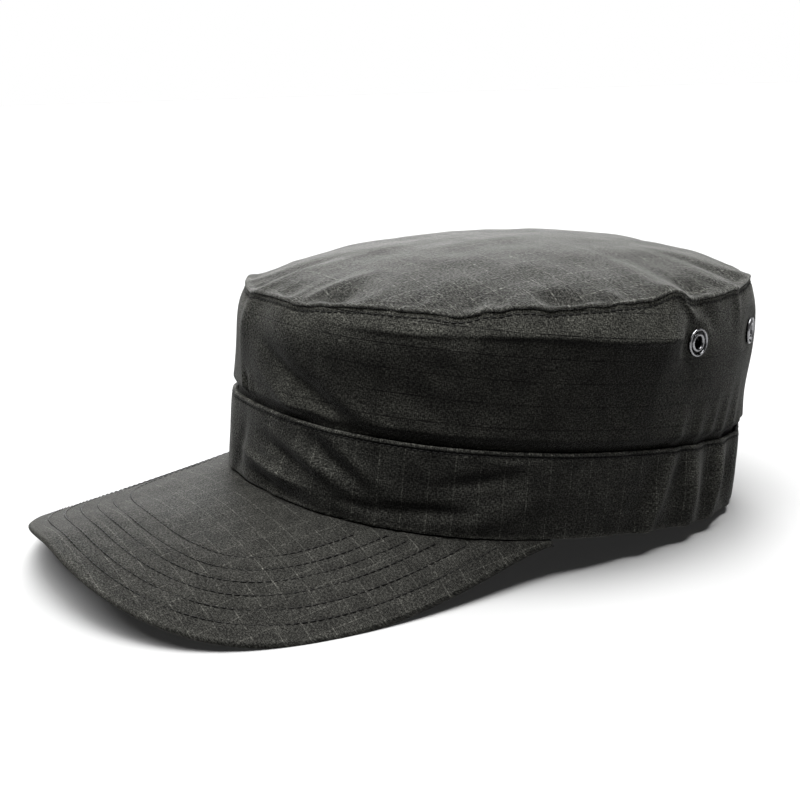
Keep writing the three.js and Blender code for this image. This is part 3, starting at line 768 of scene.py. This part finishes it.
def sheet(name, grid, cloth, wear, ring=False, loop=False, holes=()):
    """An object from a grid of points, by column and row, with their places on the flat cloth and the tone
    painted on each point: painted light and shade, with edge wear on cloth and polish on metal. A ring's
    last column joins its first and a loop's last row joins its first; the cloth then has one column or row
    more than the grid. Faces inside a hole are left out."""
    columns, rows = grid.shape[:2]
    c, r = np.meshgrid(np.arange(columns - (not ring)), np.arange(rows - (not loop)), indexing="ij")
    corners = [(c, r), (c + 1, r), (c + 1, r + 1), (c, r + 1)]
    faces = np.stack([(a % columns) * rows + b % rows for a, b in corners], -1).reshape(-1, 4)
    places = np.stack([cloth[a, b] for a, b in corners], -2).reshape(-1, 4, 2)
    points = grid.reshape(-1, 3)
    kept = np.ones(len(faces), bool)
    for hole in holes:
        offset = points[faces].mean(axis=1) - hole.middle
        along = offset @ hole.outward
        across = np.linalg.norm(offset - along[:, None] * hole.outward, axis=1)
        kept &= (across > hole.radius) | (np.abs(along) > HOLE_DEPTH)
    painted_tone = np.broadcast_to(wear, (columns, rows))
    return mesh_object(name, points, faces[kept], places[kept], painted_tone)


azimuths = np.linspace(0, 360, COLUMNS + 1)
arc = np.radians(azimuths) * (RIM.half_length + RIM.half_width) / 2
half_turn = np.linspace(0, math.pi, ROLL_ROWS)


def around(up):
    """Places on the flat cloth of a ring-shaped sheet: along its arc, and up by the heights given."""
    return joined(arc[:, None], up)


def band_piece():
    half = BAND_THICKNESS / 2
    low, high = half / BAND_HEIGHT, 1 - half / BAND_HEIGHT
    roll_in = half * (1 - np.cos(half_turn))
    roll_up = half * np.sin(half_turn) / BAND_HEIGHT
    outer = np.concatenate([
        np.linspace(low, BAND_EDGE_SHARE, BAND_ROWS),
        np.linspace(BAND_EDGE_SHARE, high, EDGE_ROWS)[1:],
    ])
    inner = np.linspace(high, low, INSIDE_ROWS)
    rise = np.concatenate([outer, high + roll_up[1:], inner[1:], (low - roll_up)[1:-1]])
    inwards = np.concatenate([
        np.zeros(len(outer)), roll_in[1:],
        np.full(len(inner) - 1, BAND_THICKNESS), BAND_THICKNESS - roll_in[1:-1],
    ])
    grid = band_point(azimuths[:-1, None], rise, inwards)
    ridges = np.maximum(fold_depth(ALL_BAND_FOLDS, azimuths[:-1, None], rise), 0)
    # painted highlights with edge wear along the edges, painted shade in the stitch groove, painted light
    # and shade by the way the wall faces, and painted highlights on the ridges
    wear = lit_and_worn_lines(BAND_LIT_AND_WORN, rise * BAND_HEIGHT) + painted_facing_light(grid) + RIDGE_HIGHLIGHT * ridges
    up = np.append(rise, rise[0]) * BAND_HEIGHT
    return sheet("band_cloth", at_rest(grid), around(up), wear, ring=True, loop=True)


Hole = namedtuple("Hole", "middle outward radius")


def eyelet_hole(eyelet):
    """Where an eyelet goes through the crown's side, and the way out."""
    above = eyelet.height - band_top(eyelet.azimuth)
    middle = at_rest(crown_point(eyelet.azimuth, above, 0))
    round_points = [at_rest(crown_point(eyelet.azimuth + step, above, 0)) for step in (-1, 1)]
    up_points = [at_rest(crown_point(eyelet.azimuth, above + step, 0)) for step in (-1, 1)]
    outward = np.cross(round_points[1] - round_points[0], up_points[1] - up_points[0])
    return Hole(middle, unit(outward), EYELET_BARREL + GAP)


def crown_side_piece():
    columns = azimuths[:, None]
    free = seam_height(columns) - band_top(columns)
    scallops = GAP * (1 + np.cos(np.radians(columns) * SEAM_SCALLOPS)) / 2
    outer = np.concatenate([
        np.broadcast_to(TUCKED_ROWS, (COLUMNS + 1, len(TUCKED_ROWS))),
        np.broadcast_to(np.linspace(PUFF_FIRST_ROW, PUFF_HEIGHT, PUFF_ROWS), (COLUMNS + 1, PUFF_ROWS)),
        PUFF_HEIGHT + np.linspace(0, 1, SIDE_ROWS)[1:] * (free - SEAM_ROWS_HEIGHT - PUFF_HEIGHT),
        free - SEAM_ROWS_HEIGHT + np.linspace(0, 1, EDGE_ROWS)[1:] * (SEAM_ROWS_HEIGHT + scallops),
    ], axis=1)
    inner = np.concatenate([outer[:, ::-1][:, ::SIDE_INSIDE_STRIDE], outer[:, :1]], axis=1)
    above = np.concatenate([outer, inner], axis=1)
    inwards = np.concatenate([np.zeros(outer.shape[1]), np.full(inner.shape[1], CROWN_THICKNESS)])
    grid = crown_point(columns, above, inwards)
    cloth = around(np.concatenate([above, above[:, :1]], axis=1))
    line, span = crease_line(columns)
    over_crease = band_top(columns) + above - line
    # painted light under the seam's overhang, and painted shade in the stitch groove and along the crease;
    # below, painted light and shade by the way the wall faces
    painted_tone = lit_and_worn_lines(SIDE_PAINTED_LIGHT, free - above) + span * lit_and_worn_lines(CREASE_PAINTED_SHADE, over_crease)
    wear = painted_facing_light(grid[:-1]) + painted_tone[:-1]
    holes = [eyelet_hole(eyelet) for eyelet in EYELETS]
    return sheet("crown_side_cloth", at_rest(grid[:-1]), cloth, wear, ring=True, loop=True, holes=holes)


def crown_top_piece():
    angles = np.linspace(0, 360, TOP_COLUMNS + 1)
    share = np.concatenate([
        np.linspace(0, TOP_EDGE_SHARE, TOP_ROWS),
        np.linspace(TOP_EDGE_SHARE, TOP_END_SHARE, TOP_EDGE_ROWS)[1:],
    ])
    half = (SEAM_LIFT - GAP) / 2
    edge_share = 1 + half * np.sin(half_turn) / SEAM.half_width - TOP_ROLL_INSET
    edge_below = half * (1 - np.cos(half_turn))
    under = np.linspace(TOP_UNDER_SHARE, 0, TOP_UNDER_ROWS)
    shares = np.concatenate([share, edge_share[1:], under])
    flat_edge = 1 + half * half_turn[1:] / SEAM.half_width
    flat_share = np.concatenate([share, flat_edge, TOP_UNDER_FLAT - under])
    edge_x, edge_y = ring_point(SEAM, angles[:, None], 0)
    cloth = joined(edge_x * flat_share, edge_y * flat_share)
    below = np.concatenate([np.zeros(len(share)), edge_below[1:], np.full(len(under), CROWN_THICKNESS)])
    grid = top_point(angles[:, None], shares, below)
    return sheet("crown_top_cloth", at_rest(grid[:-1]), cloth, lit_and_worn_lines(TOP_LIT_AND_WORN, shares), ring=True)


def nearest_distance(places, line):
    """The distance of each place of a flat grid to the nearest of a line's points."""
    return np.stack([
        np.sqrt(((column[:, None] - line) ** 2).sum(-1)).min(-1) for column in places
    ])


def peak_layout():
    """The peak's azimuths, its rows from the rim (0) to the outer edge (1), their places on the flat
    cloth, and how far each is from the outer edge."""
    half = PEAK_HALF_ANGLE * PEAK_END * np.linspace(0, 1, PEAK_COLUMNS // 2 + 1)
    starts, ways = unfolded_peak(half)
    mirror = np.array([-1, 1])
    starts = np.concatenate([(starts * mirror)[:0:-1], starts])
    ways = np.concatenate([(ways * mirror)[:0:-1], ways])
    angles = np.concatenate([-half[:0:-1], half])
    share = np.linspace(0, 1, PEAK_ROWS)
    reach = peak_reach(angles)[:, None]
    flat = starts[:, None] + (share * reach)[..., None] * ways[:, None]
    return angles, share, flat, ways, nearest_distance(flat, flat[:, -1])


peak_angles, peak_shares, peak_flat, peak_ways, peak_edge_distance = peak_layout()


def peak_piece():
    grooves = sum(bump_at(peak_edge_distance, row, GROOVE_HALF_WIDTH) for row in PEAK_STITCH_ROWS)
    quilt = 1 - sum(bump_at(peak_edge_distance, row, QUILT_HALF_WIDTH) for row in PEAK_STITCH_ROWS)
    angles = peak_angles[:, None]
    uneven = PEAK_UNEVENNESS * ripple(CLOTH_WAVES, peak_flat[..., 0], peak_flat[..., 1], 0)
    calm = smoothstep(peak_edge_distance, 0, PEAK_EDGE_CALM)
    sunk = PEAK_GROOVE_DEPTH * grooves - (QUILT_RISE * quilt + uneven) * calm
    top = peak_point(angles, peak_shares, sunk)
    bottom = peak_point(angles, np.linspace(1, 0, PEAK_UNDER_ROWS), PEAK_THICKNESS)
    turn = half_turn[1:-1]
    middle = (top[:, -1] + bottom[:, 0]) / 2
    half = (bottom[:, 0] - top[:, -1]) / 2
    ahead = unit(top[:, -1] - top[:, -1 - PEAK_TIP_ROWS])
    edge = (
        middle[:, None]
        - half[:, None] * np.cos(turn)[None, :, None]
        + ahead[:, None] * (PEAK_THICKNESS / 2 * np.sin(turn))[None, :, None]
    )
    x, y = ring_point(RIM, peak_angles, -PEAK_ROOT)
    root_top = joined(x, y, rim_height(peak_angles) - GAP)[:, None]
    root_bottom = root_top - np.array([0, 0, PEAK_THICKNESS])
    grid = np.concatenate([root_top, top, edge, bottom, root_bottom], axis=1)
    ways = peak_ways[:, None]
    round_edge = PEAK_THICKNESS / 2 * turn[:, None]
    flat_edge = peak_flat[:, -1:] + ways * round_edge
    back_in = PEAK_THICKNESS / 2 * math.pi + np.linspace(0, 1, PEAK_UNDER_ROWS) * peak_reach(angles)
    flat_bottom = peak_flat[:, -1:] + ways * back_in[..., None]
    flat_root = peak_flat[:, :1] - ways * PEAK_ROOT
    far_root = flat_bottom[:, -1:] + ways * PEAK_ROOT
    cloth = np.concatenate([flat_root, peak_flat, flat_edge, flat_bottom, far_root, far_root], axis=1)
    # painted highlights with edge wear along the outer and the rolled edge, and painted shade in the stitch
    # grooves
    wear = np.zeros(grid.shape[:2])
    wear[:, 1:PEAK_ROWS + 1] = lit_and_worn_lines(PEAK_LIT_AND_WORN, peak_edge_distance) + PEAK_GROOVE_PAINTED_SHADE * grooves
    wear[:, PEAK_ROWS + 1:PEAK_ROWS + 1 + len(turn)] = PEAK_ROLL_WEAR_AND_HIGHLIGHT
    return sheet("peak_cloth_cover", at_rest(grid), cloth, wear, loop=True)


def stitched_line(name, path, outwards, pitch, closed=False):
    """A row of stitches along a path of points, each a short bent thread whose ends dive into the cloth."""
    if closed:
        path, outwards = (np.concatenate([line, line[:1]]) for line in (path, outwards))
    lengths = np.concatenate([[0], np.cumsum(np.linalg.norm(np.diff(path, axis=0), axis=1))])
    count = int(lengths[-1] / pitch)
    middles = (np.arange(count) + 0.5) * lengths[-1] / count
    stations = np.array(STITCH_STATIONS)
    where = middles[:, None] + stations * pitch * STITCH_SHARE / 2

    def along(line):
        return np.stack([np.interp(where, lengths, line[:, k]) for k in range(3)], -1)

    spine, out = along(path), unit(along(outwards))
    sideways = np.cross(unit(np.gradient(spine, axis=1)), out)
    rounds = np.arange(STITCH_SIDES) * 2 * math.pi / STITCH_SIDES
    thick = STITCH_RADIUS * np.sqrt(1 + STITCH_TIP - stations ** 2)
    arch = STITCH_RADIUS * (STITCH_RISE - STITCH_DIVE * stations ** STITCH_DIVE_POWER)
    points = (
        (spine + out * arch[None, :, None])[:, :, None]
        + out[:, :, None] * (thick[:, None] * np.cos(rounds))[None, :, :, None]
        + sideways[:, :, None] * (thick[:, None] * np.sin(rounds))[None, :, :, None]
    )
    rows, sides = len(stations), STITCH_SIDES
    s, r, k = np.meshgrid(np.arange(count), np.arange(rows - 1), np.arange(sides), indexing="ij")
    corners = [(r, k), (r, k + 1), (r + 1, k + 1), (r + 1, k)]
    faces = np.stack([(s * rows + a) * sides + b % sides for a, b in corners], -1).reshape(-1, 4)
    return mesh_object(name, points.reshape(-1, 3), faces)


def facing(points, across):
    """Unit vectors square to a path and to the direction across it, which comes for each point."""
    return unit(np.cross(np.gradient(points, axis=0), across))


def ring_stitches(name, point, pitch):
    """Stitches round the head, along the points that point(azimuth, step) gives; step is up the wall."""
    turn = np.linspace(0, 360, RING_STATIONS + 1)[:-1]
    path = at_rest(point(turn, 0))
    up = at_rest(point(turn, RING_STEP)) - at_rest(point(turn, -RING_STEP))
    return stitched_line(name, path, facing(path, up), pitch, closed=True)


def seam_stitches():
    def point(azimuth, step):
        above = seam_height(azimuth) - band_top(azimuth) - SEAM_STITCH_DROP + step
        return crown_point(azimuth, above, 0)
    return ring_stitches("seam_stitches", point, SEAM_STITCH_PITCH)


def band_stitches():
    def point(azimuth, step):
        return band_point(azimuth, 1 - (BAND_STITCH_DROP - step) / BAND_HEIGHT, 0)
    return ring_stitches("band_stitches", point, BAND_STITCH_PITCH)


def peak_stitches():
    lines = []
    for i, row in enumerate(PEAK_STITCH_ROWS):
        reaches = peak_edge_distance[:, 0] > row + PEAK_ROW_MARGIN
        share = np.array([np.interp(row, d[::-1], peak_shares[::-1]) for d in peak_edge_distance[reaches]])
        angles = peak_angles[reaches]
        path = at_rest(peak_point(angles, share, PEAK_GROOVE_DEPTH))
        outer = at_rest(peak_point(angles, share + PEAK_ROW_STEP, 0))
        inner = at_rest(peak_point(angles, share - PEAK_ROW_STEP, 0))
        out = -facing(path, outer - inner)
        lines.append(stitched_line(f"peak_stitches_{i + 1}", path, out, PEAK_STITCH_PITCH))
    return lines


def eyelet_piece(eyelet):
    """A metal ring turned from its profile, through the crown's side."""
    hole = eyelet_hole(eyelet)
    radius, out = np.array(EYELET_PROFILE).T
    turn = np.arange(EYELET_SIDES) * 2 * math.pi / EYELET_SIDES
    side = unit(np.cross(hole.outward, (0, 0, 1)))
    up = np.cross(side, hole.outward)
    spoke = np.cos(turn)[:, None] * side + np.sin(turn)[:, None] * up
    grid = hole.middle + spoke[:, None] * radius[None, :, None] + hole.outward * out[None, :, None]
    cloth = np.zeros((EYELET_SIDES + 1, len(radius) + 1, 2))
    # polished on the raised rims, painted darker as shade in the groove and next to the cloth
    polish_and_shade = smoothstep(out, *EYELET_POLISH_AND_SHADE)
    return sheet(eyelet.node + "_ring", grid, cloth, polish_and_shade, ring=True, loop=True)


crown_top = crown_top_piece()
crown_side = crown_side_piece()
band = band_piece()
peak = peak_piece()
eyelet_rings = [eyelet_piece(eyelet) for eyelet in EYELETS]
side_threads = seam_stitches()
band_threads = band_stitches()
peak_threads = peak_stitches()


def feed(tree, node, inputs):
    """Sets a node's inputs, by place or name, each to a value or to another node's output."""
    for place, value in inputs.items():
        if isinstance(value, bpy.types.NodeSocket):
            tree.links.new(value, node.inputs[place])
        else:
            node.inputs[place].default_value = value


def add(tree, kind, inputs, output=0, **settings):
    """Adds a node and gives one of its outputs."""
    node = tree.nodes.new("ShaderNode" + kind)
    for name, value in settings.items():
        setattr(node, name, value)
    feed(tree, node, inputs)
    return node.outputs[output]


def math_node(tree, operation, *values):
    return add(tree, "Math", dict(enumerate(values)), operation=operation)


def product(tree, first, *others):
    for other in others:
        first = math_node(tree, "MULTIPLY", first, other)
    return first


def remap(tree, value, low, high, new_low, new_high):
    """Carries low to new_low and high to new_high, smoothly between and level beyond."""
    inputs = {"Value": value, 1: low, 2: high, 3: new_low, 4: new_high}
    return add(tree, "MapRange", inputs, interpolation_type="SMOOTHSTEP")


def vary(tree, value, amount):
    """From noise, a factor that is more or less than 1 by an amount."""
    return remap(tree, value, *NOISE_SPAN, 1 - amount, 1 + amount)


def noise(tree, vector, grain, detail=1):
    """Noise over a vector in millimetres; grain has the size of its marks along each axis."""
    inputs = {0: vector, 1: tuple(1 / size for size in grain)}
    marks = add(tree, "VectorMath", inputs, operation="MULTIPLY")
    return add(tree, "TexNoise", {"Vector": marks, "Scale": 1, "Detail": detail})


def new_material(name):
    material = bpy.data.materials.new(name)
    material.use_nodes = True
    return material, material.node_tree, material.node_tree.nodes["Principled BSDF"]


def thick_threads(tree, place, flat, patch):
    """1 on the thick threads that lie along a direction of the cloth and 0 between, fading in patches."""
    distance = math_node(tree, "PINGPONG", place, RIPSTOP_PITCH / 2)
    line = remap(tree, distance, RIPSTOP_WIDTH / 4, RIPSTOP_WIDTH, 1, 0)
    return product(tree, line, remap(tree, noise(tree, flat, patch), *PATCH_EDGE, PATCH_LEFT, 1))


def scaled(tree, vector, factor):
    return add(tree, "VectorMath", {0: vector, "Scale": factor}, operation="SCALE")


def relief(tree, height, depth, strength):
    return add(tree, "Bump", {"Strength": strength, "Distance": depth * MM, "Height": height})


def cloth_material(node):
    """Ripstop cloth: a fine uneven weave, crossed by thick threads that fade in patches."""
    cloth = CLOTHS[node]
    material, tree, shader = new_material(node + "_ripstop")
    laid = add(tree, "UVMap", {}, uv_map="cloth")
    flat = add(tree, "VectorMath", {0: laid, 1: (1 / MM, 1 / MM, 0)}, operation="MULTIPLY")
    along = thick_threads(tree, add(tree, "SeparateXYZ", {0: flat}, output="Y"), flat, PATCHES_ALONG)
    across = thick_threads(tree, add(tree, "SeparateXYZ", {0: flat}, output="X"), flat, PATCHES_ACROSS)

    def varied(marks):
        grain = (cloth.thread * marks.along, cloth.thread * marks.across, 1)
        return vary(tree, noise(tree, flat, grain), marks.variation * cloth.grit)

    weave = product(tree, varied(WARP), varied(WEFT))
    shade = product(
        tree, weave, varied(SLUBS),
        vary(tree, noise(tree, flat, CLOUD_GRAIN, detail=3), CLOUD_VARIATION * cloth.grit),
        # the thick threads: lighter ones partly pattern and partly painted highlight, darker ones painted
        # shade
        math_node(tree, "MULTIPLY_ADD", along, cloth.along, 1),
        math_node(tree, "MULTIPLY_ADD", across, cloth.across, 1),
        # painted light and shade, with edge wear, that each point carries
        math_node(tree, "ADD", add(tree, "Attribute", {}, output="Fac", attribute_name="wear"), 1),
    )
    height = math_node(tree, "MULTIPLY_ADD", math_node(tree, "ADD", along, across), RIPSTOP_HEIGHT, weave)
    feed(tree, shader, {
        "Base Color": scaled(tree, cloth.tint, shade),
        "Roughness": remap(tree, weave, *WEAVE_SPAN, *CLOTH_ROUGHNESS),
        "Normal": relief(tree, height, CLOTH_RELIEF, strength=0.6),
        "Specular IOR Level": 0.07,
        "Sheen Weight": cloth.sheen,
        "Sheen Roughness": 0.3,
        "Sheen Tint": SHEEN_TINT,
    })
    return material


def place_in_object(tree):
    """A point's place in its object, in millimetres."""
    return scaled(tree, add(tree, "TexCoord", {}, output="Object"), 1 / MM)


def thread_material():
    """Black sewing thread, uneven in its fine plies and its fluff."""
    material, tree, shader = new_material("sewing_thread")
    place = place_in_object(tree)
    plies = noise(tree, place, PLY_GRAIN)
    fluff = noise(tree, place, FLUFF_GRAIN, detail=2)
    shade = product(
        tree,
        remap(tree, plies, *NOISE_SPAN, *PLY_SHADES),
        remap(tree, fluff, *NOISE_SPAN, *FLUFF_SHADES),
    )
    feed(tree, shader, {
        "Base Color": scaled(tree, THREAD_TINT, shade),
        "Roughness": remap(tree, plies, *NOISE_SPAN, *THREAD_ROUGHNESS),
        "Normal": relief(tree, plies, THREAD_RELIEF, strength=0.5),
        "Specular IOR Level": 0.1,
    })
    return material


def metal_material():
    """Black-finished metal, rubbed a little lighter in places and lightly scratched. It is polished on its
    raised rims and painted darker in its groove and next to the cloth, as shade.
    """
    material, tree, shader = new_material("eyelet_black_metal")
    place = place_in_object(tree)
    rubbed = noise(tree, place, RUBBED_GRAIN, detail=3)
    scratches = noise(tree, place, SCRATCH_GRAIN, detail=2)
    # polish of the raised rims, and painted shade in the groove and next to the cloth
    polish_and_shade = add(tree, "Attribute", {}, output="Fac", attribute_name="wear")
    shade = product(
        tree,
        remap(tree, rubbed, *RUBBED_EDGE, *RUBBED_SHADES),
        remap(tree, scratches, *NOISE_SPAN, *SCRATCH_SHADES),
        remap(tree, polish_and_shade, 0, 1, *POLISH_AND_PAINTED_SHADE),
    )
    feed(tree, shader, {
        "Base Color": scaled(tree, METAL_TINT, shade),
        "Roughness": remap(tree, rubbed, *NOISE_SPAN, *METAL_ROUGHNESS),
        "Normal": relief(tree, scratches, METAL_RELIEF, strength=0.2),
        "Metallic": 1,
    })
    return material


def register(piece, material, node=None):
    """Sets a piece's material and its place in the frame, where it may stand for a CAD node."""
    if node:
        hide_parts(node)
    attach(piece, "root")
    piece.data.materials.append(material)


register(crown_top, cloth_material("crown_top"), "crown_top")
register(crown_side, cloth_material("crown_side"), "crown_side")
register(band, cloth_material("band"), "band")
register(peak, cloth_material("peak"), "peak")

black_metal = metal_material()
for ring, eyelet in zip(eyelet_rings, EYELETS):
    register(ring, black_metal, eyelet.node)

sewing_thread = thread_material()
register(side_threads, sewing_thread)
register(band_threads, sewing_thread)
for threads in peak_threads:
    register(threads, sewing_thread)


def add_floor():
    ends = (-FLOOR_HALF, FLOOR_HALF)
    mesh = bpy.data.meshes.new("floor")
    mesh.from_pydata([(x, y, 0) for x in ends for y in ends], [], [(0, 2, 3, 1)])
    material, tree, shader = new_material("floor")
    feed(tree, shader, {
        "Base Color": (FLOOR_ALBEDO, FLOOR_ALBEDO, FLOOR_ALBEDO, 1),
        "Roughness": 1,
        "Specular IOR Level": 0,
        "Emission Color": (1, 1, 1, 1),
        "Emission Strength": FLOOR_GLOW,
    })
    mesh.materials.append(material)
    floor = put_in_scene("floor", mesh)


def add_lamp(lamp):
    """Adds a sun lamp that shines down its direction."""
    towards = Vector(lamp.direction).normalized()
    data = bpy.data.lights.new(lamp.name, "SUN")
    data.energy = lamp.strength * math.pi
    data.angle = math.radians(lamp.width)
    sun = put_in_scene(lamp.name, data)
    sun.rotation_mode = "QUATERNION"
    sun.rotation_quaternion = towards.to_track_quat("Z", "Y")


def add_world():
    """The background is white where the camera sees it, and gives little light."""
    world = bpy.data.worlds.new("studio")
    world.use_nodes = True
    tree = world.node_tree
    seen = add(tree, "LightPath", {}, output="Is Camera Ray")
    feed(tree, tree.nodes["Background"], {
        "Color": (1, 1, 1, 1),
        "Strength": math_node(tree, "MAXIMUM", seen, AMBIENT),
    })
    bpy.context.scene.world = world


add_floor()
for lamp in LAMPS:
    add_lamp(lamp)
add_world()

bpy.context.scene.view_settings.view_transform = "Standard"

bpy.context.view_layer.update()
